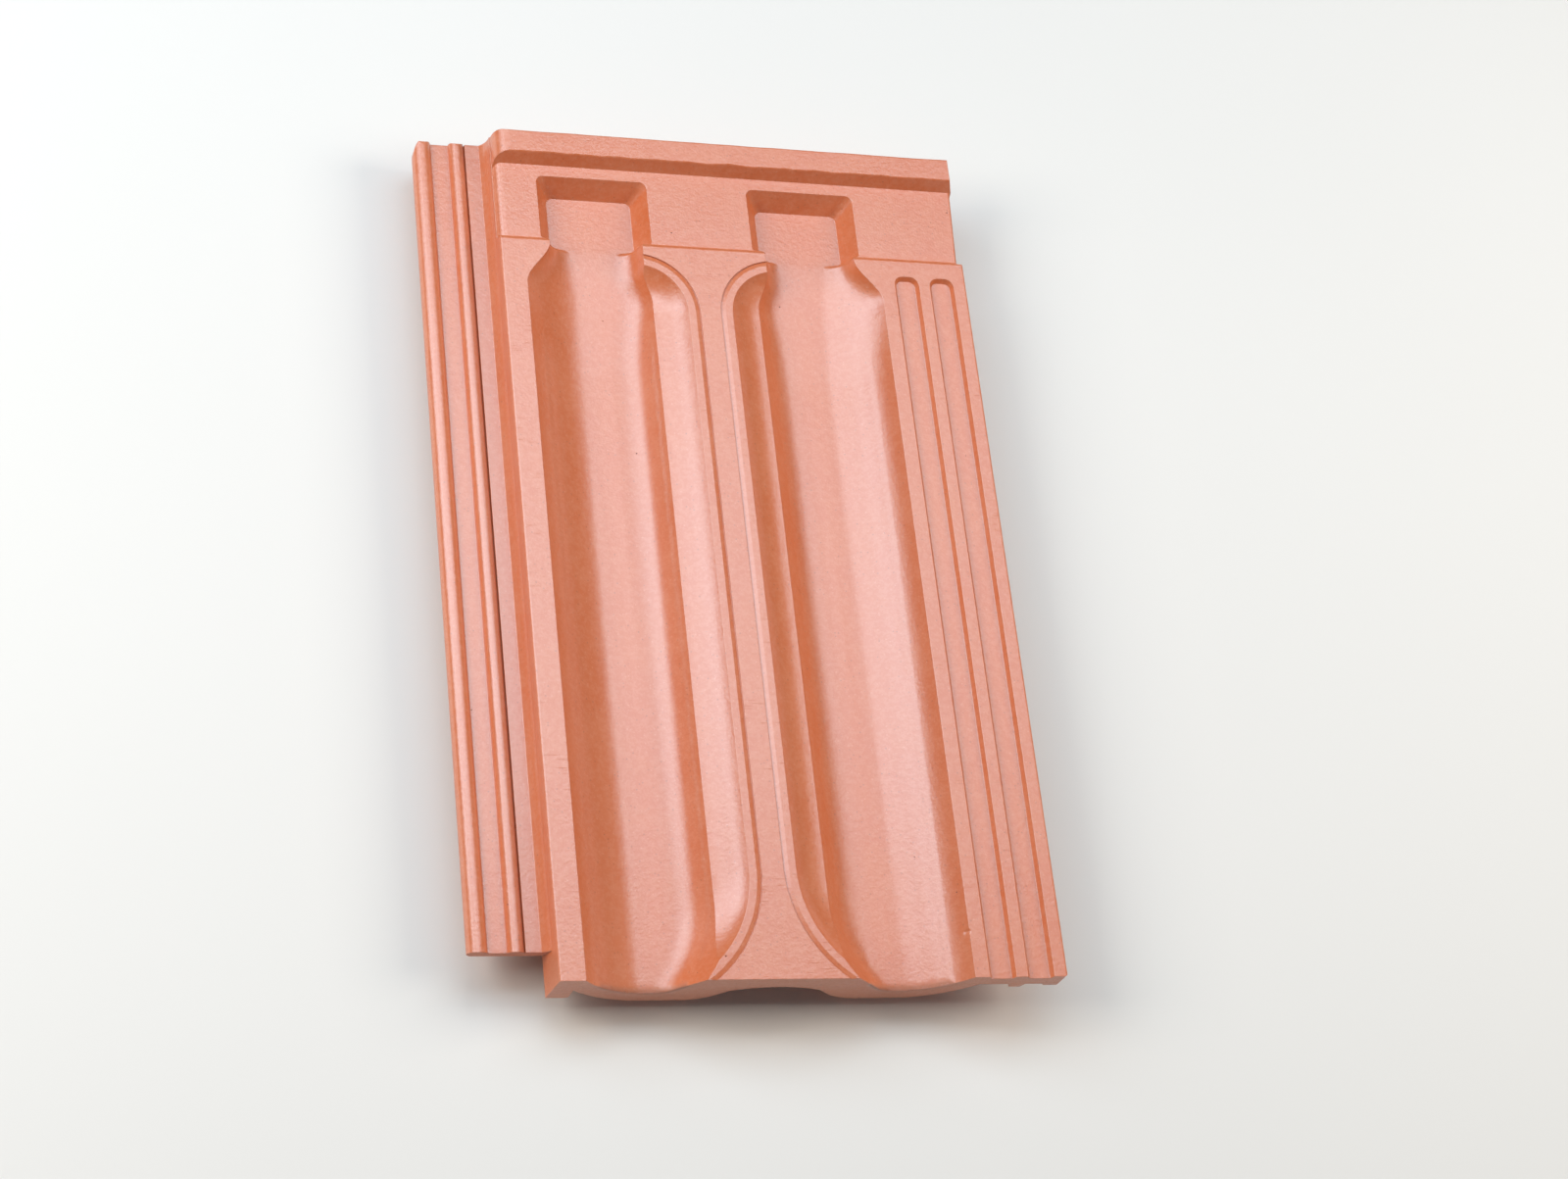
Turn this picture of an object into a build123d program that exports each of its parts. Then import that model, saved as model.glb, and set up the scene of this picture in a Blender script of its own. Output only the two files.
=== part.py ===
from build123d import *
import os
from math import asin, atan2, cos, degrees, radians, sin, sqrt, tan

# Interlocking double-trough clay roof tile, pressed and fired as one piece.
# All sizes are in millimetres. X runs across the tile to the right, Y runs up the roof
# from the tail to the head, Z points out of the weather face. The tile lies on its four
# underside lugs, so Z = 0 is the plane of their feet. Drops are measured down from the
# weather face, and distances along the tile from its tail edge.

# Overall
tile_width = 265.0
tile_length = 420.0
wall = 10.0
lug_height = 10.0
arris = 1.0

# Side lock: the low strip on the left that the next tile covers
lock_width = 31.7
lock_land_drop = 12.9
lock_groove_drop = 14.7
lock_bottom_drop = 22.0
lock_tail_gap = 14.8
lock_tail_draft = 4.0
bead_rise = 3.7
bead_end_round = 1.8
lock_corner_width = 3.1
lock_corner_length = 10.5
outer_bead_width = 8.8
groove_width = 8.4
inner_bead_width = 7.4
land_lift = 0.4
lock_cove = 3.7
cove_rise = 7.8
cove_bow = 1.0
wall_lean = 1.3
left_wall = 8.6

# Margins and flutes
left_margin = 11.45
first_strip = 6.85
flute_width = 12.4
flute_spacing = 5.5
edge_strip = 6.4
flute_depth = 2.4
flute_draft = 1.4
flute_corner = 4.6
flute_gap = 10.8

# Centre panel, with a fine line, a strip and a cove on each side of it
panel_width = 10.1
line_depth = 0.8
line_width = 2.3
strip_width = 3.4
strip_sink = 0.15
cove_run = 15.25
shelf_drop = 6.4
arch_radius = 30.0
arch_gap = 6.5
bell_length = 50.0
bell_radius = 63.0

# Troughs
trough_depth = 17.0
inner_slope = 48.0
inner_fillet = 10.0
crease_slope = 10.0
outer_run = 26.2
turn_length = 39.0
turn_share = 0.66

# Bottle neck at the head end of each trough
neck_length = 3.0
neck_corner = 2.0
neck_depth = 11.7
neck_floor_length = 65.0
inner_shoulder = 6.0
inner_shoulder_length = 18.0
inner_shoulder_gap = 9.5
outer_shoulder = 12.3
outer_shoulder_length = 22.0
neck_slope = 74.0
neck_fillet = 9.0
neck_crease_slope = 4.0
neck_outer_run = 12.0

# Head: sunk region, raised rim and the two sockets
head_length = 55.5
head_sink = 2.1
head_inset = 2.2
step_run = 2.6
step_corner = 4.0
head_round = 4.5
rim_foot_width = 15.6
rim_top_width = 12.0
rim_height = 3.9
rim_round = 7.5
rim_corner = 6.0
rim_end_draft = 2.0
socket_margin = 5.8
socket_inner_overhang = 5.4
socket_outer_overhang = 3.6
socket_draft = 6.4
socket_corner = 3.4

# Underside
play = 1.5
joint_gap = 1.5
rib_flank = 1.3
vault_crown = 10.5
vault_wall = 9.4
lug_length = 20.0
lug_play = 3.5
lug_draft = 3.0
lug_round = 2.5
lug_bury = 6.5
eaves_lug_gap = 7.0
batten_lug_gap = 28.0

# Places and sizes worked out from the values above
face_height = trough_depth + wall + lug_height
left_edge = lock_width + lock_cove - tile_width / 2
right_edge = tile_width / 2
right_margin = first_strip + 2 * flute_width + flute_spacing + edge_strip
trough_edge = (right_edge - right_margin - left_edge - left_margin) / 2
panel_x = left_edge + left_margin + trough_edge
panel_half = panel_width / 2
ridge = panel_half + line_width + strip_width + cove_run
crease = trough_edge - outer_run
wall_run = (trough_depth - shelf_drop) / tan(radians(inner_slope))
flat_start = ridge + wall_run + inner_fillet * tan(radians(inner_slope / 2))
tail_turn = (crease - flat_start) * turn_share
turn_radius = (turn_length ** 2 + tail_turn ** 2) / (2 * tail_turn)
neck_ridge = ridge + inner_shoulder
neck_edge = trough_edge - outer_shoulder
neck_crease = neck_edge - neck_outer_run
step_at = tile_length - head_length
neck_at = step_at - neck_length
inner_shoulder_end = neck_at - inner_shoulder_gap
inner_shoulder_at = inner_shoulder_end - inner_shoulder_length
outer_shoulder_at = neck_at - outer_shoulder_length
shoulders_at = min(inner_shoulder_at, outer_shoulder_at)
straight_end = step_at - neck_floor_length
rim_at = tile_length - rim_foot_width
socket_end = rim_at - socket_margin
socket_inside = neck_ridge - shelf_drop / tan(radians(neck_slope)) - socket_inner_overhang
socket_outside = neck_edge + socket_outer_overhang
socket_middle = (socket_inside + socket_outside) / 2
socket_half = (socket_outside - socket_inside) / 2
lug_width = 2 * (socket_half - socket_draft - lug_play)
cover_width = tile_width - lock_width - lock_cove + joint_gap
beads_width = outer_bead_width + groove_width + inner_bead_width
margin_thickness = lock_groove_drop - bead_rise - play
above = wall


def across(distance):
    """X of a distance measured from the outer edge of the lock."""
    return distance - tile_width / 2


def along(distance):
    """Y of a distance measured from the tail."""
    return distance - tile_length / 2


def upright(distance):
    """Section plane at a distance from the tail: X across, height above the weather face up."""
    return Plane(origin=(0, along(distance), face_height), x_dir=(1, 0, 0), z_dir=(0, -1, 0))


def side_view(x):
    """Section plane at an X: Y along, height above the weather face up."""
    return Plane(origin=(x, 0, face_height), x_dir=(0, 1, 0), z_dir=(1, 0, 0))


def level(height):
    """Level plane at a height above the weather face."""
    return Plane(origin=(0, 0, face_height + height))


def rounded_face(corners):
    """Closed face from (first, second, corner radius) triples."""
    points = [(first, second) for first, second, radius in corners]
    radii = [radius for first, second, radius in corners]
    return make_face(FilletPolyline(*points, radius=radii, close=True))


def prism(face, start, end):
    """Run an upright section from one distance from the tail to another."""
    return extrude(upright(start) * face, amount=start - end)


def smooth(value, start, end):
    """Smooth step from 0 at start to 1 at end."""
    share = min(max((value - start) / (end - start), 0.0), 1.0)
    return share * share * (3 - 2 * share)


def mix(first, second, share):
    """Value a share of the way from the first to the second."""
    return first + (second - first) * share


def pair(solid):
    """A solid and its mirror image about the middle of the panel."""
    middle = Plane(origin=(panel_x, 0, 0), z_dir=(1, 0, 0))
    return solid + mirror(solid, about=middle)


def neck_opening(distance):
    """Share by which a neck has opened where its corners round into the head step."""
    inside = min(max(distance - step_at + neck_corner, 0.0), neck_corner)
    return 1 - sqrt(1 - (inside / neck_corner) ** 2)


def inward_turn(distance):
    """How far the panel side of a trough has turned outward, near the tail."""
    inside = max(turn_length - distance, 0.0)
    return turn_radius - sqrt(turn_radius ** 2 - inside ** 2)


def trough_section(distance, grow, top):
    """Trough section at a distance from the tail, measured sideways from the panel's middle.

    grow is 0 for the hollow and the wall thickness for the outside of the shell.
    """
    inner = smooth(distance, inner_shoulder_at, inner_shoulder_end)
    outer = smooth(distance, outer_shoulder_at, neck_at)
    raised = smooth(distance, straight_end, step_at)
    turn = 0.0 if grow else inward_turn(distance)
    opened = 0.0 if grow else neck_opening(distance)
    slope = radians(mix(inner_slope, neck_slope, inner))
    fillet_radius = mix(mix(inner_fillet, neck_fillet, inner), socket_corner, opened) + grow
    depth = mix(trough_depth, neck_depth, raised)
    floor = -depth - grow
    crease_x = mix(crease, neck_crease, outer) + opened * neck_outer_run / 2
    edge_x = mix(trough_edge, neck_edge, outer) + opened * neck_corner
    tilt = radians(mix(crease_slope, neck_crease_slope, outer))

    # Inner wall: a straight slope through the ridge, then a fillet into the floor
    wall_x = mix(ridge, neck_ridge, inner) + turn - opened * neck_corner - grow * sin(slope)
    wall_z = -shelf_drop - grow * cos(slope)
    wall_top = (wall_x - (top - wall_z) / tan(slope), top)
    foot_x = wall_x + (wall_z - floor) / tan(slope)
    setback = fillet_radius * tan(slope / 2)
    wall_end = (foot_x - setback * cos(slope), floor + setback * sin(slope))
    fillet_mid = (
        foot_x + setback - fillet_radius * sin(slope / 2),
        floor + fillet_radius * (1 - cos(slope / 2)),
    )
    floor_start = (foot_x + setback, floor)

    # Outer wall: one arc from the crease up to the weather face
    run = edge_x - crease_x
    half_turn = atan2(depth, run) - tilt
    arc_radius = sqrt(depth ** 2 + run ** 2) / (2 * sin(half_turn))
    centre_x = crease_x - arc_radius * sin(tilt)
    centre_z = arc_radius * cos(tilt) - depth

    def on_arc(angle):
        reach = arc_radius + grow
        return (centre_x + reach * sin(angle), centre_z - reach * cos(angle))

    arc_end = on_arc(tilt + 2 * half_turn)
    outline = [
        Line(wall_top, wall_end),
        ThreePointArc(wall_end, fillet_mid, floor_start),
        Line(floor_start, on_arc(tilt)),
        ThreePointArc(on_arc(tilt), on_arc(tilt + half_turn), arc_end),
        Line(arc_end, (arc_end[0], top)),
        Line((arc_end[0], top), wall_top),
    ]
    return Pos(panel_x, 0, 0) * make_face(outline)


def even_steps(start, end, count):
    """Evenly spaced distances from start to end."""
    return [mix(start, end, step / count) for step in range(count + 1)]


def trough_loft(distances, grow, top):
    """Trough through its sections at some distances from the tail."""
    return loft([upright(distance) * trough_section(distance, grow, top) for distance in distances])


def trough_hollow():
    """The right trough: turned at the tail, straight, rising, then drawn in to the neck."""
    mouth_at = step_at - neck_corner
    opening = [mouth_at + neck_corner * sin(radians(angle)) for angle in (0, 18, 36, 54, 72)]
    hollow = trough_loft(even_steps(-2 * arris, turn_length, 6), 0, above)
    hollow += prism(trough_section(turn_length, 0, above), turn_length, straight_end)
    hollow += trough_loft(even_steps(straight_end, shoulders_at, 4), 0, above)
    hollow += trough_loft(even_steps(shoulders_at, mouth_at, 10), 0, above)
    hollow += trough_loft(opening, 0, above)
    return hollow + prism(trough_section(opening[-1], 0, above), opening[-1], step_at + arris)


def trough_shell():
    """The outside of the right trough, one wall thickness around its hollow."""
    top = -wall / 25
    shell = prism(trough_section(straight_end, wall, top), 0, straight_end)
    shell += trough_loft(even_steps(straight_end, shoulders_at, 4), wall, top)
    shell += trough_loft(even_steps(shoulders_at, neck_at, 6), wall, top)
    return shell + prism(trough_section(neck_at, wall, top), neck_at, step_at)


def slab_section(top, left_round, right_x):
    """Section of the weather face slab, with the left wall and the overlock ribs below it."""
    rib_middle = across(cover_width + outer_bead_width + groove_width / 2)
    rib_half = groove_width / 2 - play
    rib_drop = lock_groove_drop - play
    edge_rib_drop = lock_land_drop - play
    edge_rib_x = across(cover_width + beads_width) + play
    return rounded_face([
        (left_edge, top, left_round),
        (right_x, top, arris),
        (right_x, -edge_rib_drop, arris),
        (edge_rib_x, -edge_rib_drop, arris / 2),
        (edge_rib_x - rib_flank, -margin_thickness, arris / 2),
        (rib_middle + rib_half + rib_flank, -margin_thickness, arris),
        (rib_middle + rib_half, -rib_drop, arris),
        (rib_middle - rib_half, -rib_drop, arris),
        (rib_middle - rib_half - rib_flank, -margin_thickness, arris),
        (left_edge + left_wall, -margin_thickness, 3 * arris),
        (left_edge + left_wall, -lock_bottom_drop, 2 * arris),
        (left_edge - wall_lean, -lock_bottom_drop, 0),
    ])


def panel_vault():
    """Thick arched underside of the centre panel, between the two trough shells."""
    slope = radians(inner_slope)
    spring_x = ridge - (wall - vault_wall * cos(slope)) / sin(slope) + arris
    spring_z = -shelf_drop - vault_wall
    top = -margin_thickness / 2
    side_x = ridge + arris
    arch = make_face([
        Line((-side_x, top), (side_x, top)),
        Line((side_x, top), (side_x, spring_z)),
        Line((side_x, spring_z), (spring_x, spring_z)),
        ThreePointArc((spring_x, spring_z), (0, -vault_crown), (-spring_x, spring_z)),
        Line((-spring_x, spring_z), (-side_x, spring_z)),
        Line((-side_x, spring_z), (-side_x, top)),
    ])
    return prism(Pos(panel_x, 0, 0) * arch, 0, rim_at)


def lock_section():
    """Section of the side lock: two round beads, the groove between them, a flat land and a cove."""
    groove = -lock_groove_drop
    land = -lock_land_drop
    bottom = -lock_bottom_drop
    edge = across(0)
    outer_end = across(outer_bead_width)
    inner_start = outer_end + groove_width
    inner_end = across(beads_width)
    land_end = across(lock_width)
    cove_top = land + cove_rise
    cove_x = left_edge + wall_lean * cove_top / lock_bottom_drop
    chord = sqrt(cove_rise ** 2 + (cove_x - land_end) ** 2)
    cove_mid = (
        mix(land_end, cove_x, 0.5) + cove_bow * cove_rise / chord,
        mix(land, cove_top, 0.5) - cove_bow * (cove_x - land_end) / chord,
    )
    inside = left_edge + arris
    cheek = groove - bead_rise / 2
    foot_x = across(outer_bead_width / 3)
    return make_face([
        ThreePointArc((edge, groove), ((edge + outer_end) / 2, groove + bead_rise), (outer_end, groove)),
        Line((outer_end, groove), (inner_start, groove)),
        ThreePointArc(
            (inner_start, groove), ((inner_start + inner_end) / 2, groove + bead_rise), (inner_end, groove)
        ),
        Line((inner_end, groove), (inner_end + land_lift, land)),
        Line((inner_end + land_lift, land), (land_end, land)),
        ThreePointArc((land_end, land), cove_mid, (cove_x, cove_top)),
        Line((cove_x, cove_top), (inside, cove_top)),
        Line((inside, cove_top), (inside, bottom)),
        Line((inside, bottom), (foot_x, bottom)),
        ThreePointArc((foot_x, bottom), (mix(edge, foot_x, 0.25), mix(bottom, cheek, 0.5)), (edge, cheek)),
        Line((edge, cheek), (edge, groove)),
    ])


def lock_end():
    """What is taken off the head end of the lock: the beads round down and the outer corner curves in."""
    end = along(tile_length)
    crown = bead_rise - lock_groove_drop
    bend = bead_end_round * cos(radians(45))
    centre = (end - bead_end_round, crown - bead_end_round)
    side = make_face([
        ThreePointArc((centre[0], crown), (centre[0] + bend, centre[1] + bend), (end, centre[1])),
        Line((end, centre[1]), (end + arris, centre[1])),
        Line((end + arris, centre[1]), (end + arris, above)),
        Line((end + arris, above), (centre[0], above)),
        Line((centre[0], above), (centre[0], crown)),
    ])
    edge = across(0)
    corner_x = across(lock_corner_width)
    plan = make_face([
        Spline((edge, end - lock_corner_length), (corner_x, end), tangents=[(0, 1), (1, 1)]),
        Line((corner_x, end), (corner_x, end + arris)),
        Line((corner_x, end + arris), (edge - arris, end + arris)),
        Line((edge - arris, end + arris), (edge - arris, end - lock_corner_length)),
        Line((edge - arris, end - lock_corner_length), (edge, end - lock_corner_length)),
    ])
    return extrude(side_view(edge) * side, amount=beads_width) + extrude(plan, amount=face_height)


def make_lock():
    """Side lock strip, drafted at its tail end and rounded at its head end."""
    side = make_face(Polyline(
        (along(lock_tail_gap), 0),
        (along(tile_length), 0),
        (along(tile_length), -lock_bottom_drop),
        (along(lock_tail_gap + lock_tail_draft), -lock_bottom_drop),
        close=True,
    ))
    strip = prism(lock_section(), 0, tile_length) & extrude(side_view(across(0)) * side, amount=tile_width)
    return strip - lock_end()


def moulding_section(reach):
    """Cut beside the panel: fine line, strip, cove and shelf, measured from the panel's edge."""
    strip_end = line_width + strip_width
    shelf_start = strip_end + cove_run
    drop = shelf_drop - strip_sink
    cove = (cove_run ** 2 + drop ** 2) / (2 * drop)
    half_turn = atan2(drop, cove_run)
    cove_mid = (shelf_start - cove * sin(half_turn), cove * (1 - cos(half_turn)) - shelf_drop)
    return make_face([
        Line((0, above), (0, -line_depth)),
        Line((0, -line_depth), (line_width, -strip_sink)),
        Line((line_width, -strip_sink), (strip_end, -strip_sink)),
        ThreePointArc((strip_end, -strip_sink), cove_mid, (shelf_start, -shelf_drop)),
        Line((shelf_start, -shelf_drop), (reach, -shelf_drop)),
        Line((reach, -shelf_drop), (reach, above)),
        Line((reach, above), (0, above)),
    ])


def turned_moulding(distance, radius, reach, sense, angle):
    """The moulding turned about an upright axis on the trough side of the panel's edge."""
    edge_x = panel_x + panel_half
    axis = Axis((edge_x + radius, along(distance), 0), (0, 0, sense))
    section = upright(distance) * (Pos(edge_x, 0, 0) * moulding_section(reach))
    return revolve(section, axis=axis, revolution_arc=angle)


def make_moulding():
    """The cut on the right of the panel: arch at the head, straight run, bell at the tail."""
    arch_at = step_at - arch_gap - arch_radius
    straight = prism(Pos(panel_x + panel_half, 0, 0) * moulding_section(ridge), bell_length, arch_at)
    arch = turned_moulding(arch_at, arch_radius, arch_radius - arris, -1, 90)
    bell_angle = degrees(asin(bell_length / bell_radius))
    bell = turned_moulding(bell_length, bell_radius, ridge + inner_fillet, 1, bell_angle + 2)
    return straight + arch + bell


def socket_outline(height, floor_drop, grow):
    """Outline of a socket at a height: drafted on three sides, straight on the tail side."""
    share = (height + floor_drop) / (floor_drop - head_sink)
    inset = socket_draft * (1 - share) - grow
    half = socket_half - inset
    end = along(socket_end) - inset
    start = along(step_at) - grow
    corner = socket_corner + grow
    outline = rounded_face([
        (-half, start, corner / 2),
        (half, start, corner / 2),
        (half, end, corner),
        (-half, end, corner),
    ])
    return level(height) * (Pos(panel_x + socket_middle, 0, 0) * outline)


def make_socket():
    """Rectangular socket beside the rim, open to the neck of its trough."""
    return loft([socket_outline(-neck_depth, neck_depth, 0), socket_outline(arris, neck_depth, 0)])


def socket_shell():
    """The outside of a socket below the head slab."""
    drop = neck_depth + wall
    top = -head_sink - arris
    return loft([socket_outline(-drop, drop, vault_wall), socket_outline(top, drop, vault_wall)])


def make_flute(start):
    """Shallow flute that ends below the head with rounded corners and runs out at the tail."""
    middle = right_edge - right_margin + start + flute_width / 2

    def outline(height, inset):
        half = flute_width / 2 - inset
        end = along(step_at - flute_gap) - inset
        shape = rounded_face([
            (-half, along(-wall), 0),
            (half, along(-wall), 0),
            (half, end, flute_corner - inset),
            (-half, end, flute_corner - inset),
        ])
        return level(height) * (Pos(middle, 0, 0) * shape)

    flare = flute_draft / flute_depth
    return loft([outline(-flute_depth, flute_draft), outline(arris, -flare * arris)])


def make_step():
    """Soft step where the weather face drops into the sunk head region."""
    start = along(step_at)
    top = (start - step_run, 0)
    foot = (start, -head_sink)
    past = start + arris
    cut = make_face([
        Line((start - step_run, above), top),
        Spline(top, foot, tangents=[(1, 0), (1, 0)]),
        Line(foot, (past, -head_sink)),
        Line((past, -head_sink), (past, above)),
        Line((past, above), (start - step_run, above)),
    ])
    return extrude(side_view(left_edge - wall) * cut, amount=tile_width)


def make_rim():
    """Raised bar along the head edge, rounded down at its left end and drafted at its right end."""
    depth = -head_sink - head_round
    slant = (rim_foot_width - rim_top_width) / (rim_height + head_sink)
    side = rounded_face([
        (along(rim_at) - slant * head_round, depth, 0),
        (along(tile_length - rim_top_width), rim_height, arris),
        (along(tile_length), rim_height, arris),
        (along(tile_length), depth, 0),
    ])
    bar = extrude(side_view(left_edge) * side, amount=right_edge - left_edge)

    round_x = left_edge + rim_round
    round_z = rim_height - rim_round
    bend = rim_round * cos(radians(45))
    left_end = make_face([
        Line((left_edge, round_z), (left_edge - arris, round_z)),
        Line((left_edge - arris, round_z), (left_edge - arris, above)),
        Line((left_edge - arris, above), (round_x, above)),
        Line((round_x, above), (round_x, rim_height)),
        ThreePointArc((round_x, rim_height), (round_x - bend, round_z + bend), (left_edge, round_z)),
    ])
    reach = rim_end_draft * (above + head_sink) / (rim_height + head_sink)
    right_end = make_face(Polyline(
        (right_edge, -head_sink),
        (right_edge - reach, above),
        (right_edge + arris, above),
        (right_edge + arris, -head_sink),
        close=True,
    ))
    bar -= prism(left_end, rim_at - wall, tile_length + arris)
    return bar - prism(right_end, rim_at - wall, tile_length + arris)


def make_head():
    """Sunk head region, whose right edge runs out from the step's corner to the full width."""
    start = step_at - step_corner
    slab = loft([
        upright(start) * slab_section(-head_sink, head_round, right_edge - head_inset),
        upright(tile_length) * slab_section(-head_sink, head_round, right_edge),
    ], ruled=True)
    outline = rounded_face([
        (left_edge - wall, along(start), 0),
        (right_edge, along(start), 0),
        (right_edge, along(tile_length), 2 * arris),
        (left_edge, along(tile_length), rim_corner),
        (left_edge - wall, along(rim_at), 0),
    ])
    return (slab + make_rim()) & extrude(outline, amount=2 * face_height)


def make_body():
    """Weather face slab from the tail to the head step, its right corners rounded."""
    outline = rounded_face([
        (left_edge - wall, along(0), 0),
        (right_edge, along(0), 2 * arris),
        (right_edge, along(step_at), step_corner),
        (left_edge - wall, along(step_at), 0),
    ])
    return prism(slab_section(0, arris, right_edge), 0, step_at) & extrude(outline, amount=2 * face_height)


def make_lug(middle, carrier_drop):
    """Drafted lug from its foot on the floor plane up into the shell that carries it."""
    height = face_height - carrier_drop
    spread = lug_draft * height / lug_height
    foot = Rectangle(lug_width, lug_length)
    foot = fillet(foot.vertices(), lug_round)
    root = Rectangle(lug_width + 2 * spread, lug_length + 2 * spread)
    root = fillet(root.vertices(), lug_round + spread)
    place = Pos(panel_x + socket_middle, along(middle), 0)
    return place * loft([foot, Pos(0, 0, height) * root])


def make_tile():
    """The whole tile: slab, shells, lock and lugs joined, then the weather face cut."""
    carried = wall - lug_bury
    tile = make_body() + make_head() + panel_vault() + make_lock()
    tile += pair(trough_shell()) + pair(socket_shell())
    tile += pair(make_lug(eaves_lug_gap + lug_length / 2, trough_depth + carried))
    tile += pair(make_lug(tile_length - batten_lug_gap - lug_length / 2, neck_depth + carried))
    tile -= make_step()
    tile -= pair(trough_hollow())
    tile -= pair(make_socket())
    tile -= pair(make_moulding())
    tile -= make_flute(first_strip)
    tile -= make_flute(first_strip + flute_width + flute_spacing)
    return tile


os.makedirs("parts", exist_ok=True)
export_step(make_tile(), "parts/roof_tile.step")
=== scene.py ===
import bmesh
import bpy
import numpy as np
from bpy.props import FloatProperty, FloatVectorProperty, PointerProperty
from mathutils import Matrix, Vector, noise


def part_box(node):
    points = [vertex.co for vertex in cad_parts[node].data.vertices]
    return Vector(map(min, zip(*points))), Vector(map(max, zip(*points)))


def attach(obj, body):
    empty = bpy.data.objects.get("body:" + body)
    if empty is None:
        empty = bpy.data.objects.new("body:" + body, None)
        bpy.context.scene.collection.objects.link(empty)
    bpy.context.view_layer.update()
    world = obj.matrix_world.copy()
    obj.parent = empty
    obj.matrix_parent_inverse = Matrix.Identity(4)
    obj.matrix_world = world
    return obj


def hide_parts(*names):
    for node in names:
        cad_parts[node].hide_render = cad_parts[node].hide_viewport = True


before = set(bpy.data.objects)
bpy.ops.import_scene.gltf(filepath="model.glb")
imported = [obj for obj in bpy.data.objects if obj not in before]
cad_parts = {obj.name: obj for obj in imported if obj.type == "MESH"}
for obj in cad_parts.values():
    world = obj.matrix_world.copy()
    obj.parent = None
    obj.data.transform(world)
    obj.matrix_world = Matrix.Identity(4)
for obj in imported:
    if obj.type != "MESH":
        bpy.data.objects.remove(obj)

bl_info = {
    "name": "Clay Roof Tile",
    "version": (1, 0, 0),
    "blender": (4, 5, 0),
    "location": "3D View > Sidebar > Roof Tile",
    "description": "Dresses a fired interlocking roof tile and sets it on a studio floor",
    "category": "Object",
}

TILE_NODE = "roof_tile"
LOW_CORNER, HIGH_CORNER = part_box(TILE_NODE)
RIM_RISE = 0.0039
FACE_HEIGHT = HIGH_CORNER.z - RIM_RISE

# Places between which the surface changes, in metres: heights, along the tile and across it
FACE_LEVEL = (FACE_HEIGHT - 0.0012, FACE_HEIGHT - 0.0006)
FLOOR_LEVEL = (FACE_HEIGHT - 0.0100, FACE_HEIGHT - 0.0075)
NECK_START = (0.095, 0.115)
SOCKET_START = (0.146, 0.152)
TROUGH_EDGE = (LOW_CORNER.x + 0.044, LOW_CORNER.x + 0.050)

# Fine relief, in metres
PINHOLE_RADIUS = 0.00036
PINHOLE_DEPTH = 0.00035
DRAG_DEPTH = 0.00004
BACK_GRAIN = 0.00020
FACE_GRAIN = 0.00011
MILLIMETRE = 0.001

# Small wounds of the fired face: across, along, radius and depth, in metres
DENTS = (
    (0.0340, -0.0193, 0.0014, 0.0004),
    (0.0883, -0.1888, 0.0016, 0.0004),
    (-0.0725, 0.1515, 0.0009, 0.0006),
)

# The rim: how far down the tile and the face its cuts reach, in metres
RIM_LENGTH = 0.0175
RIM_CUT_DEPTH = 0.0024

# The bank of lamps above the head: name, place, width and share of the power
KEY_LAMPS = (
    ("key_left", (-0.99, 0.62, 1.08), 0.90, 1.25),
    ("key_middle", (-0.24, 0.62, 1.45), 0.80, 1.1),
    ("key_right", (0.48, 0.62, 1.38), 0.76, 0.75),
)
KEY_DEPTH = 0.84
SIDE_LAMPS = (("left_lamp", (-1.2, 0.0, 0.9)), ("right_lamp", (1.2, 0.0, 1.0)))
SIDE_WIDTH, SIDE_DEPTH = 0.8, 0.6
LAMP_AIM = (0.0, 0.0, 0.03)

# The camera's directions to the right, down and forward
CAMERA_AXES = ((0.9528, -0.1055, 0.2848), (0.0272, -0.9044, -0.4259), (0.3025, 0.4135, -0.8588))
FLOOR_HALF_SIZE = 6.0


# Properties

class ClayFinish(bpy.types.PropertyGroup):
    """Colours and surface of the fired clay."""

    body_color: FloatVectorProperty(
        name="Body Colour", description="Colour of the fired clay", subtype="COLOR",
        min=0.0, max=1.0, default=(0.610, 0.150, 0.049))
    pale_color: FloatVectorProperty(
        name="Pale Colour", description="Paler, pinker clay in the mottling", subtype="COLOR",
        min=0.0, max=1.0, default=(0.635, 0.178, 0.070))
    # Pale clay of the grains and of rubbed edges, also used as a painted highlight along sharp
    # edges and creases
    pale_clay_and_highlight_color: FloatVectorProperty(
        name="Pale Clay and Edge Highlight Colour", description="Light clay along rubbed edges", subtype="COLOR",
        min=0.0, max=1.0, default=(0.760, 0.360, 0.240))
    # Painted shade inside the pinholes; also the colour of the dark grain specks and the drag
    # marks
    pinhole_shade_and_dark_mark_color: FloatVectorProperty(
        name="Pinhole Shade and Dark Mark Colour", description="Dark inside of the pinholes", subtype="COLOR",
        min=0.0, max=1.0, default=(0.180, 0.050, 0.028))
    patch_size: FloatProperty(
        name="Patch Size", description="Size of the mottled patches", default=0.030,
        min=0.001, unit="LENGTH", precision=4)
    grain_size: FloatProperty(
        name="Grain Size", description="Size of the sand grains", default=0.0007,
        min=0.0001, unit="LENGTH", precision=5)
    hole_spacing: FloatProperty(
        name="Pinhole Spacing", description="Distance between the cells that may hold a pinhole",
        default=0.011, min=0.001, unit="LENGTH", precision=4)
    face_roughness: FloatProperty(
        name="Face Roughness", description="Roughness of the pressed weather face",
        default=0.28, min=0.0, max=1.0, subtype="FACTOR")
    back_roughness: FloatProperty(
        name="Back Roughness", description="Roughness of the underside",
        default=0.72, min=0.0, max=1.0, subtype="FACTOR")


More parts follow.
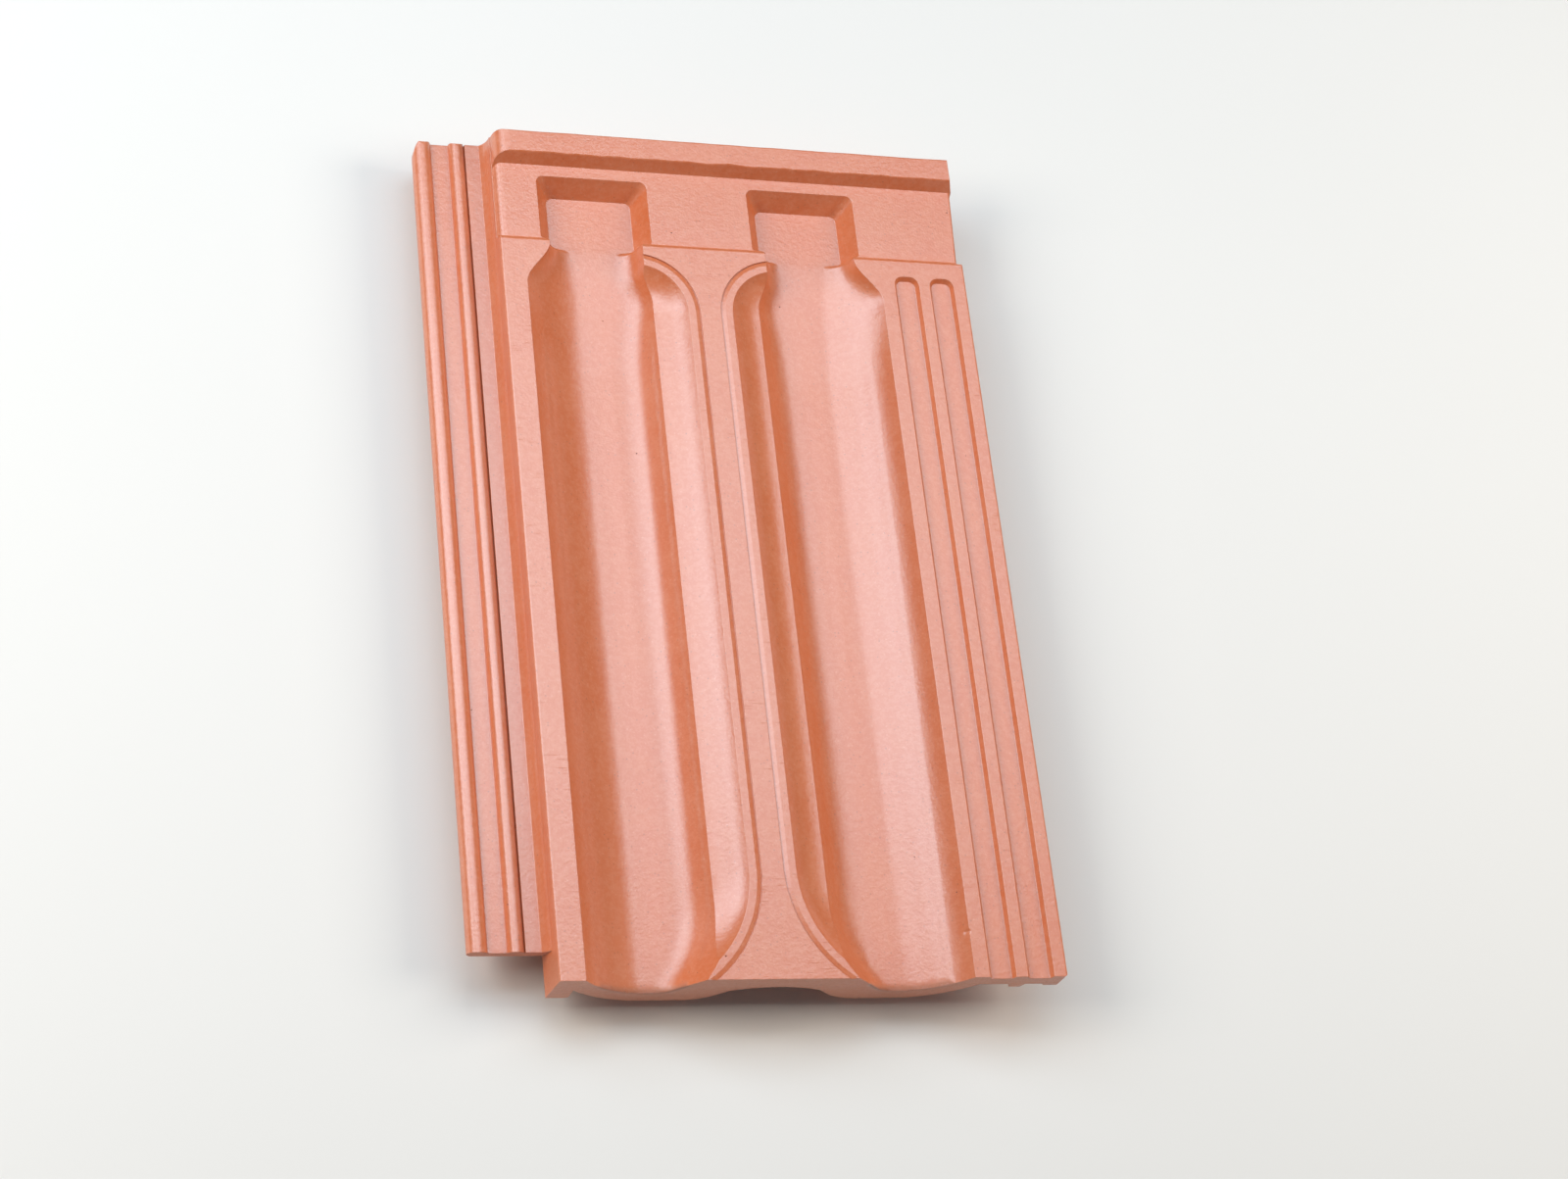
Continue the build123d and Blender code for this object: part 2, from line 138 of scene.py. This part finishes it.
class TileShape(bpy.types.PropertyGroup):
    """How uneven the pressed tile is."""

    rim_spacing: FloatProperty(
        name="Rim Spacing", description="Distance between the points of the rim's edges",
        default=0.0022, min=0.001, unit="LENGTH", precision=4)
    rim_wave: FloatProperty(
        name="Rim Wave", description="How far the rim's edges wander",
        default=0.0004, min=0.0, unit="LENGTH", precision=5)
    edge_radius: FloatProperty(
        name="Edge Radius", description="Radius that the finest edges are softened to",
        default=0.0005, min=0.0, unit="LENGTH", precision=5)
    floor_radius: FloatProperty(
        name="Floor Radius",
        description="Radius that the creases in the floors of the troughs are softened to",
        default=0.0055, min=0.0, unit="LENGTH", precision=4)
    wave_height: FloatProperty(
        name="Wave Height", description="Height of the broad unevenness of the faces",
        default=0.00016, min=0.0, unit="LENGTH", precision=5)
    streak_height: FloatProperty(
        name="Streak Height", description="Height of the soft streaks along the troughs",
        default=0.00035, min=0.0, unit="LENGTH", precision=5)


class StudioStage(bpy.types.PropertyGroup):
    """Floor, lamps and camera."""

    floor_color: FloatVectorProperty(
        name="Floor Colour", description="Colour of the studio floor", subtype="COLOR",
        min=0.0, max=1.0, default=(0.78, 0.78, 0.77))
    key_power: FloatProperty(
        name="Key Power", description="Power of the soft lamps above the head, for each metre",
        default=7.35, min=0.0, unit="POWER")
    key_color: FloatVectorProperty(
        name="Key Colour", description="Colour of the soft lamps above the head", subtype="COLOR",
        min=0.0, max=1.0, default=(0.76, 0.89, 1.0))
    side_power: FloatProperty(
        name="Side Power", description="Power of each of the soft lamps at the sides",
        default=12.4, min=0.0, unit="POWER")
    side_color: FloatVectorProperty(
        name="Side Colour", description="Colour of the soft lamps at the sides", subtype="COLOR",
        min=0.0, max=1.0, default=(1.0, 0.90, 0.79))
    sky_strength: FloatProperty(
        name="Room Light", description="Strength of the even light of the room",
        default=0.12, min=0.0)
    camera_place: FloatVectorProperty(
        name="Camera Place", description="Where the camera stands", subtype="XYZ", unit="LENGTH",
        default=(-0.4230, -0.6331, 1.2994))
    lens: FloatProperty(
        name="Lens", description="Focal length on a 36 mm wide sensor", default=74.54,
        min=1.0, unit="CAMERA")


# Shader node groups

def add_node(tree, kind, **inputs):
    """Add a shader node and set its named inputs; a socket given as a value is linked."""
    node = tree.nodes.new(kind)
    for name, value in inputs.items():
        set_input(tree, node, name.replace("_", " "), value)
    return node


def set_input(tree, node, name, value):
    """Link a socket to a node's input, or set the input's value."""
    socket = node.inputs[name]
    if isinstance(value, bpy.types.NodeSocket):
        tree.links.new(value, socket)
    else:
        socket.default_value = value


def calculate(tree, operation, *values):
    """A Math node on sockets or numbers; gives its output."""
    node = tree.nodes.new("ShaderNodeMath")
    node.operation = operation
    for index, value in enumerate(values):
        if isinstance(value, bpy.types.NodeSocket):
            tree.links.new(value, node.inputs[index])
        else:
            node.inputs[index].default_value = value
    return node.outputs["Value"]


def times(tree, first, *others):
    """Product of sockets or numbers; gives its output."""
    for other in others:
        first = calculate(tree, "MULTIPLY", first, other)
    return first


def ramp(tree, value, low, high, to_low=0.0, to_high=1.0):
    """Smooth change from one value to another while a value goes from low to high."""
    node = tree.nodes.new("ShaderNodeMapRange")
    node.interpolation_type = "SMOOTHSTEP"
    tree.links.new(value, node.inputs["Value"])
    ends = {"From Min": low, "From Max": high, "To Min": to_low, "To Max": to_high}
    for name, number in ends.items():
        node.inputs[name].default_value = number
    return node.outputs["Result"]


def blend_colors(tree, share, first, second):
    """Mix of two colours by a share; gives its output."""
    node = tree.nodes.new("ShaderNodeMix")
    node.data_type = "RGBA"
    tree.links.new(share, node.inputs["Factor"])
    for name, color in (("A", first), ("B", second)):
        socket = next(s for s in node.inputs if s.name == name and s.type == "RGBA")
        if isinstance(color, bpy.types.NodeSocket):
            tree.links.new(color, socket)
        else:
            socket.default_value = (*color, 1.0)
    return next(s for s in node.outputs if s.type == "RGBA")


def stretched(tree, position, factors):
    """The position with each axis multiplied, so that a pattern on it is drawn out."""
    node = tree.nodes.new("ShaderNodeVectorMath")
    node.operation = "MULTIPLY"
    tree.links.new(position, node.inputs[0])
    node.inputs[1].default_value = factors
    return node.outputs["Vector"]


def new_effect(name, inputs, outputs):
    """An empty shader node group with named sockets; gives its tree and its two ends."""
    tree = bpy.data.node_groups.new(name, "ShaderNodeTree")
    for label, kind in inputs:
        tree.interface.new_socket(name=label, in_out="INPUT", socket_type=kind)
    for label, kind in outputs:
        tree.interface.new_socket(name=label, in_out="OUTPUT", socket_type=kind)
    return tree, tree.nodes.new("NodeGroupInput"), tree.nodes.new("NodeGroupOutput")


def noise_value(tree, position, scale, detail=2.0, roughness=0.5):
    """A noise texture on a position; gives its value."""
    node = add_node(
        tree, "ShaderNodeTexNoise", Vector=position, Scale=scale, Detail=detail,
        Roughness=roughness)
    return node.outputs["Fac"]


def make_mottle():
    """Node group: soft patches of paler clay at two sizes."""
    tree, start, end = new_effect(
        "Clay Mottle",
        [("Position", "NodeSocketVector"), ("Patch Size", "NodeSocketFloat")],
        [("Mask", "NodeSocketFloat")])
    scale = calculate(tree, "DIVIDE", 1.0, start.outputs["Patch Size"])
    broad = noise_value(tree, start.outputs["Position"], scale, 2.0, 0.55)
    close = noise_value(tree, start.outputs["Position"], times(tree, scale, 5.0), 1.0)
    total = calculate(tree, "ADD", times(tree, broad, 0.7), times(tree, close, 0.3))
    tree.links.new(ramp(tree, total, 0.32, 0.68), end.inputs["Mask"])
    return tree


def make_grain():
    """Node group: sand grains that roughen the skin, with light and dark specks."""
    tree, start, end = new_effect(
        "Sand Grain",
        [("Position", "NodeSocketVector"), ("Grain Size", "NodeSocketFloat")],
        [("Height", "NodeSocketFloat"), ("Light Specks", "NodeSocketFloat"),
         ("Dark Specks", "NodeSocketFloat")])
    scale = calculate(tree, "DIVIDE", 1.0, start.outputs["Grain Size"])
    drawn = stretched(tree, start.outputs["Position"], (0.80, 1.0, 1.0))
    grains = noise_value(tree, start.outputs["Position"], times(tree, scale, 0.6), 1.0, 0.6)
    coarse = noise_value(tree, drawn, times(tree, scale, 0.33), 0.0)
    height = calculate(tree, "ADD", times(tree, grains, 0.6), times(tree, coarse, 0.4))
    cells = add_node(tree, "ShaderNodeTexVoronoi", Vector=start.outputs["Position"],
                     Scale=times(tree, scale, 0.45))
    spots = ramp(tree, cells.outputs["Distance"], 0.16, 0.34, 1.0, 0.0)
    pick = add_node(tree, "ShaderNodeSeparateColor", Color=cells.outputs["Color"])
    light = calculate(tree, "GREATER_THAN", pick.outputs["Red"], 0.86)
    dark = calculate(tree, "LESS_THAN", pick.outputs["Red"], 0.10)
    tree.links.new(height, end.inputs["Height"])
    tree.links.new(times(tree, spots, light), end.inputs["Light Specks"])
    tree.links.new(times(tree, spots, dark), end.inputs["Dark Specks"])
    return tree


def make_pinholes():
    """Node group: scattered pinholes where air left the clay."""
    tree, start, end = new_effect(
        "Pinholes",
        [("Position", "NodeSocketVector"), ("Spacing", "NodeSocketFloat"),
         ("Radius", "NodeSocketFloat")],
        [("Mask", "NodeSocketFloat")])
    scale = calculate(tree, "DIVIDE", 1.0, start.outputs["Spacing"])
    cells = add_node(tree, "ShaderNodeTexVoronoi", Vector=start.outputs["Position"], Scale=scale)
    pick = add_node(tree, "ShaderNodeSeparateColor", Color=cells.outputs["Color"])
    size = ramp(tree, pick.outputs["Green"], 0.0, 1.0, 0.5, 1.2)
    reach = times(tree, start.outputs["Radius"], scale, size)
    wobble = noise_value(tree, start.outputs["Position"], 900.0, 0.0)
    away = calculate(tree, "DIVIDE", cells.outputs["Distance"], reach)
    away = calculate(tree, "ADD", away, times(tree, wobble, 0.8))
    hole = ramp(tree, away, 1.0, 1.5, 1.0, 0.0)
    chosen = calculate(tree, "GREATER_THAN", pick.outputs["Red"], 0.62)
    tree.links.new(times(tree, hole, chosen), end.inputs["Mask"])
    return tree


def make_drag_marks():
    """Node group: fine short marks across the tile, left when the press cloth was drawn off."""
    tree, start, end = new_effect(
        "Drag Marks",
        [("Position", "NodeSocketVector")],
        [("Mask", "NodeSocketFloat")])
    across = stretched(tree, start.outputs["Position"], (110.0, 1500.0, 110.0))
    lines = noise_value(tree, across, 1.0, 0.0)
    patches = noise_value(tree, start.outputs["Position"], 28.0, 1.0)
    sharp = ramp(tree, lines, 0.70, 0.82)
    tree.links.new(times(tree, sharp, ramp(tree, patches, 0.46, 0.60)), end.inputs["Mask"])
    return tree


def place_effect(tree, effect, **inputs):
    """Place a node group in a material's tree with its values."""
    node = tree.nodes.new("ShaderNodeGroup")
    node.node_tree = effect
    for name, value in inputs.items():
        set_input(tree, node, name.replace("_", " "), value)
    return node


def make_unevenness():
    """Node group: broad waves, soft streaks along the troughs, and a mask of their floors."""
    tree, start, end = new_effect(
        "Unevenness",
        [("Position", "NodeSocketVector"), ("Wave Height", "NodeSocketFloat"),
         ("Streak Height", "NodeSocketFloat")],
        [("Height", "NodeSocketFloat"), ("Floor", "NodeSocketFloat")])
    position = start.outputs["Position"]
    waves = noise_value(tree, position, 28.0, 0.0)
    streaks = noise_value(tree, stretched(tree, position, (105.0, 3.6, 0.0)), 1.0, 1.0)
    level = add_node(tree, "ShaderNodeSeparateXYZ", Vector=position)
    deep = times(tree, ramp(tree, level.outputs["Z"], *FLOOR_LEVEL, 1.0, 0.0),
                 ramp(tree, level.outputs["X"], *TROUGH_EDGE))
    below_neck = times(tree, deep, ramp(tree, level.outputs["Y"], *NECK_START, 1.0, 0.0))
    below_socket = times(tree, deep, ramp(tree, level.outputs["Y"], *SOCKET_START, 1.0, 0.0))
    streaks = times(tree, streaks, below_neck, start.outputs["Streak Height"])
    waves = times(tree, waves, start.outputs["Wave Height"])
    tree.links.new(calculate(tree, "ADD", waves, streaks), end.inputs["Height"])
    tree.links.new(below_socket, end.inputs["Floor"])
    return tree


def make_wounds():
    """Node group: a few small chips and dents, at fixed places."""
    tree, start, end = new_effect(
        "Wounds", [("Position", "NodeSocketVector")], [("Depth", "NodeSocketFloat")])
    flat = stretched(tree, start.outputs["Position"], (1.0, 1.0, 0.0))
    total = None
    for across, along, radius, depth in DENTS:
        away = tree.nodes.new("ShaderNodeVectorMath")
        away.operation = "DISTANCE"
        tree.links.new(flat, away.inputs[0])
        away.inputs[1].default_value = (across, along, 0.0)
        dent = ramp(tree, away.outputs["Value"], 0.0, radius, depth, 0.0)
        total = dent if total is None else calculate(tree, "ADD", total, dent)
    tree.links.new(total, end.inputs["Depth"])
    return tree


def make_clay(finish, shape):
    """The fired clay: mottled, sandy, pinholed with painted shade in the holes, pale along its
    edges from rubbed clay and a painted highlight, smoother on its face.
    """
    material = bpy.data.materials.new("Fired Clay")
    material.use_nodes = True
    tree = material.node_tree
    shader = tree.nodes["Principled BSDF"]
    coordinates = add_node(tree, "ShaderNodeTexCoord")
    position, normal = coordinates.outputs["Object"], coordinates.outputs["Normal"]
    level = add_node(tree, "ShaderNodeSeparateXYZ", Vector=position).outputs["Z"]
    upright = add_node(tree, "ShaderNodeSeparateXYZ", Vector=normal).outputs["Z"]
    weather = ramp(tree, upright, -0.25, 0.15)
    brushed = times(tree, ramp(tree, upright, 0.985, 0.997), ramp(tree, level, *FACE_LEVEL))

    uneven = place_effect(tree, make_unevenness(), Position=position,
                          Wave_Height=shape.wave_height, Streak_Height=shape.streak_height)
    floor = times(tree, uneven.outputs["Floor"], weather, shape.floor_radius)

    soft = tree.nodes.new("ShaderNodeBevel")
    soft.samples = 4
    set_input(tree, soft, "Radius", calculate(tree, "ADD", floor, shape.edge_radius))
    # Edge mask: where the softened normal turns away from the true one, at sharp edges and
    # creases; it lightens the clay there, partly as rubbed pale clay and partly as a painted
    # highlight
    turn = tree.nodes.new("ShaderNodeVectorMath")
    turn.operation = "DOT_PRODUCT"
    tree.links.new(soft.outputs["Normal"], turn.inputs[0])
    tree.links.new(add_node(tree, "ShaderNodeNewGeometry").outputs["Normal"], turn.inputs[1])
    edge = ramp(tree, turn.outputs["Value"], 0.98, 0.85)

    mottle = place_effect(
        tree, make_mottle(), Position=position, Patch_Size=finish.patch_size).outputs["Mask"]
    grain = place_effect(tree, make_grain(), Position=position, Grain_Size=finish.grain_size)
    holes = place_effect(tree, make_pinholes(), Position=position, Spacing=finish.hole_spacing,
                         Radius=PINHOLE_RADIUS).outputs["Mask"]
    marks = place_effect(tree, make_drag_marks(), Position=position)
    wounds = place_effect(tree, make_wounds(), Position=position)
    drag = times(tree, marks.outputs["Mask"], brushed)

    color = blend_colors(tree, mottle, finish.body_color, finish.pale_color)
    sand = ramp(tree, grain.outputs["Height"], 0.42, 0.62)
    for mask, share, tint in (
        (sand, 0.16, finish.pale_clay_and_highlight_color),
        (grain.outputs["Light Specks"], 0.30, finish.pale_clay_and_highlight_color),
        (grain.outputs["Dark Specks"], 0.30, finish.pinhole_shade_and_dark_mark_color),
        # rubbed pale clay and a painted highlight along sharp edges and creases
        (edge, 0.45, finish.pale_clay_and_highlight_color),
        (drag, 0.12, finish.pinhole_shade_and_dark_mark_color),
        # painted shade inside the pinholes
        (holes, 1.0, finish.pinhole_shade_and_dark_mark_color),
    ):
        color = blend_colors(tree, times(tree, mask, share), color, tint)
    tree.links.new(color, shader.inputs["Base Color"])

    rough = ramp(tree, weather, 0.0, 1.0, finish.back_roughness, finish.face_roughness)
    rough = calculate(tree, "ADD", rough, times(tree, mottle, 0.03))
    rough = calculate(tree, "ADD", rough, times(tree, holes, 0.3))
    tree.links.new(rough, shader.inputs["Roughness"])
    shader.inputs["IOR"].default_value = 1.75
    shader.inputs["Specular IOR Level"].default_value = 1.0

    grain_height = ramp(tree, weather, 0.0, 1.0, BACK_GRAIN, FACE_GRAIN)
    relief = times(tree, grain.outputs["Height"], grain_height)
    for depth in (
        times(tree, holes, PINHOLE_DEPTH), times(tree, drag, DRAG_DEPTH), wounds.outputs["Depth"],
    ):
        relief = calculate(tree, "SUBTRACT", relief, depth)
    relief = calculate(tree, "ADD", relief, uneven.outputs["Height"])
    bump = add_node(tree, "ShaderNodeBump", Strength=1.0, Distance=MILLIMETRE,
                    Height=times(tree, relief, 1.0 / MILLIMETRE), Normal=soft.outputs["Normal"])
    tree.links.new(bump.outputs["Normal"], shader.inputs["Normal"])
    return material


# The tile's skin

def corner_values(mesh, source, name):
    """Three numbers for each face corner of a mesh, from one of its own collections."""
    values = np.empty(len(mesh.loops) * 3, np.float32)
    source.foreach_get(name, values)
    return values.reshape(-1, 3)


def keep_normals(mesh):
    """Store the corner normals of a mesh in two coordinate layers, which cuts carry along."""
    normals = corner_values(mesh, mesh.corner_normals, "vector")
    for name, pair in (("normal_xy", normals[:, :2]), ("normal_z", normals[:, [2, 2]])):
        layer = mesh.uv_layers.new(name=name)
        layer.uv.foreach_set("vector", np.ascontiguousarray(pair).ravel())


def restore_normals(mesh):
    """Give a mesh the corner normals that its coordinate layers hold, and drop the layers."""
    kept = []
    for name in ("normal_xy", "normal_z"):
        pair = np.empty(len(mesh.loops) * 2, np.float32)
        mesh.uv_layers[name].uv.foreach_get("vector", pair)
        kept.append(pair.reshape(-1, 2))
    normals = np.column_stack([kept[0], kept[1][:, 0]])
    normals /= np.linalg.norm(normals, axis=1, keepdims=True)
    for name in ("normal_xy", "normal_z"):
        mesh.uv_layers.remove(mesh.uv_layers[name])
    mesh.normals_split_custom_set(normals.tolist())


def cut_rim(mesh, spacing):
    """Cut the rim's faces along planes across the tile, so that its long edges can wander."""
    bm = bmesh.new()
    bm.from_mesh(mesh)
    facing = Vector((1.0, 0.0, 0.0))
    for index in range(1, int((HIGH_CORNER.x - LOW_CORNER.x) / spacing)):
        faces = [
            face for face in bm.faces
            if face.calc_center_median().z > FACE_HEIGHT - RIM_CUT_DEPTH
            and min(vert.co.y for vert in face.verts) > HIGH_CORNER.y - RIM_LENGTH]
        edges = {edge for face in faces for edge in face.edges}
        verts = {vert for face in faces for vert in face.verts}
        bmesh.ops.bisect_plane(
            bm, geom=faces + list(edges) + list(verts), dist=1e-6,
            plane_co=facing * (LOW_CORNER.x + index * spacing), plane_no=facing)
    bm.to_mesh(mesh)
    bm.free()


def noise_field(points, size, offset):
    """Noise of about -1 to 1 along the tile's width at each row of points."""
    return np.array([
        noise.noise((place / size + offset, offset, 0.0)) for place in points[:, 0].tolist()])


def soft_step(values, low, high):
    """Smooth step from 0 at low to 1 at high."""
    share = np.clip((values - low) / (high - low), 0.0, 1.0)
    return share * share * (3 - 2 * share)


def wander_rim(mesh, reach):
    """Let the rim's outer edge and the edge of its front face wander a little along the tile."""
    points = np.empty(len(mesh.vertices) * 3, np.float32)
    mesh.vertices.foreach_get("co", points)
    points = points.reshape(-1, 3)
    inward = soft_step(points[:, 0], LOW_CORNER.x + 0.012, LOW_CORNER.x + 0.03)
    inward *= soft_step(points[:, 0], HIGH_CORNER.x - 0.004, HIGH_CORNER.x - 0.02)
    high = inward * soft_step(points[:, 2], FACE_HEIGHT + 0.0010, FACE_HEIGHT + 0.0030)
    outer = high * soft_step(points[:, 1], HIGH_CORNER.y - 0.004, HIGH_CORNER.y)
    front = high * soft_step(points[:, 1], HIGH_CORNER.y - 0.009, HIGH_CORNER.y - 0.0115)
    points[:, 1] -= outer * (0.5 + 0.5 * noise_field(points, 0.013, 2.3)) * reach
    ripple = noise_field(points, 0.011, 8.9) + 0.4 * noise_field(points, 0.004, 5.1)
    points[:, 1] += front * ripple * reach * 1.5
    mesh.vertices.foreach_set("co", points.ravel())
    mesh.update()


def make_fired_tile(shape):
    """The tile's pressed skin with a rim whose edges wander."""
    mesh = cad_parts[TILE_NODE].data.copy()
    mesh.name = "fired_tile"
    keep_normals(mesh)
    cut_rim(mesh, shape.rim_spacing)
    wander_rim(mesh, shape.rim_wave)
    restore_normals(mesh)
    tile = bpy.data.objects.new("fired_tile", mesh)
    bpy.context.scene.collection.objects.link(tile)
    return tile


# Stage

def make_floor(stage):
    """A wide, plain and pale studio floor."""
    material = bpy.data.materials.new("Studio Floor")
    material.use_nodes = True
    tree = material.node_tree
    shader = tree.nodes["Principled BSDF"]
    position = add_node(tree, "ShaderNodeTexCoord").outputs["Object"]
    cloud = noise_value(tree, position, 3.0, 1.0)
    shade = [channel * 0.97 for channel in stage.floor_color]
    color = blend_colors(tree, cloud, stage.floor_color, shade)
    tree.links.new(color, shader.inputs["Base Color"])
    shader.inputs["Roughness"].default_value = 0.9
    shader.inputs["Specular IOR Level"].default_value = 0.2
    mesh = bpy.data.meshes.new("studio_floor")
    bm = bmesh.new()
    bmesh.ops.create_grid(bm, x_segments=8, y_segments=8, size=FLOOR_HALF_SIZE)
    bm.to_mesh(mesh)
    bm.free()
    mesh.materials.append(material)
    floor = bpy.data.objects.new("studio_floor", mesh)
    bpy.context.scene.collection.objects.link(floor)


def hang_lamp(name, place, power, width, depth, color):
    """A soft rectangular lamp at a place, aimed at the tile, with its width across the tile."""
    lamp = bpy.data.lights.new(name, "AREA")
    lamp.shape = "RECTANGLE"
    lamp.size, lamp.size_y = width, depth
    lamp.energy = power
    lamp.color = color
    holder = bpy.data.objects.new(name, lamp)
    away = (Vector(place) - Vector(LAMP_AIM)).normalized()
    across = (Vector((1.0, 0.0, 0.0)) - away * away.x).normalized()
    turn = Matrix((across, away.cross(across), away)).transposed().to_4x4()
    turn.translation = Vector(place)
    holder.matrix_world = turn
    bpy.context.scene.collection.objects.link(holder)
    return holder


def set_camera(stage):
    """The camera at the photograph's viewing angle."""
    right, down, forward = (Vector(axis).normalized() for axis in CAMERA_AXES)
    camera = bpy.data.cameras.new("camera")
    camera.sensor_width = 36.0
    camera.lens = stage.lens
    camera.clip_start = 0.01
    holder = bpy.data.objects.new("camera", camera)
    turn = Matrix((right, -down, -forward)).transposed().to_4x4()
    turn.translation = Vector(stage.camera_place)
    holder.matrix_world = turn
    bpy.context.scene.collection.objects.link(holder)
    bpy.context.scene.camera = holder


def set_room(strength):
    """The even light of the room."""
    world = bpy.data.worlds.new("room")
    world.use_nodes = True
    background = world.node_tree.nodes["Background"]
    background.inputs["Color"].default_value = (1.0, 1.0, 1.0, 1.0)
    background.inputs["Strength"].default_value = strength
    bpy.context.scene.world = world


# Operators

class ROOFTILE_OT_make_tile(bpy.types.Operator):
    """Make the fired clay tile in place of the CAD node"""

    bl_idname = "rooftile.make_tile"
    bl_label = "Make Tile"

    def execute(self, context):
        scene = context.scene
        tile = make_fired_tile(scene.tile_shape)
        tile.data.materials.clear()
        tile.data.materials.append(make_clay(scene.clay_finish, scene.tile_shape))
        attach(tile, "root")
        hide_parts(TILE_NODE)
        return {"FINISHED"}


class ROOFTILE_OT_make_stage(bpy.types.Operator):
    """Set the floor, the lamps and the camera"""

    bl_idname = "rooftile.make_stage"
    bl_label = "Make Stage"

    def execute(self, context):
        stage = context.scene.studio_stage
        make_floor(stage)
        for name, place, width, share in KEY_LAMPS:
            power = stage.key_power * width * share
            hang_lamp(name, place, power, width, KEY_DEPTH, stage.key_color)
        for name, place in SIDE_LAMPS:
            lamp = hang_lamp(
                name, place, stage.side_power, SIDE_WIDTH, SIDE_DEPTH, stage.side_color)
            lamp.visible_glossy = False
        set_room(stage.sky_strength)
        set_camera(stage)
        context.scene.view_settings.view_transform = "Standard"
        return {"FINISHED"}


class VIEW3D_PT_roof_tile(bpy.types.Panel):
    """Sidebar panel of the roof tile"""

    bl_label = "Roof Tile"
    bl_space_type = "VIEW_3D"
    bl_region_type = "UI"
    bl_category = "Roof Tile"

    def draw(self, context):
        layout = self.layout
        scene = context.scene
        for group, operator in (
            (scene.tile_shape, ROOFTILE_OT_make_tile.bl_idname),
            (scene.clay_finish, None),
            (scene.studio_stage, ROOFTILE_OT_make_stage.bl_idname),
        ):
            column = layout.column(align=True)
            for name in group.__annotations__:
                column.prop(group, name)
            if operator:
                layout.operator(operator)


CLASSES = (
    ClayFinish, TileShape, StudioStage,
    ROOFTILE_OT_make_tile, ROOFTILE_OT_make_stage, VIEW3D_PT_roof_tile,
)


def register():
    """Register the classes and hang the settings on the scene."""
    for cls in CLASSES:
        bpy.utils.register_class(cls)
    bpy.types.Scene.clay_finish = PointerProperty(type=ClayFinish)
    bpy.types.Scene.tile_shape = PointerProperty(type=TileShape)
    bpy.types.Scene.studio_stage = PointerProperty(type=StudioStage)


def unregister():
    """Take the settings and the classes away."""
    del bpy.types.Scene.clay_finish
    del bpy.types.Scene.tile_shape
    del bpy.types.Scene.studio_stage
    for cls in reversed(CLASSES):
        bpy.utils.unregister_class(cls)


def main():
    """Make the tile and its stage."""
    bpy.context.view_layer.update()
    register()
    bpy.ops.rooftile.make_tile()
    bpy.ops.rooftile.make_stage()


if __name__ == "__main__":
    main()
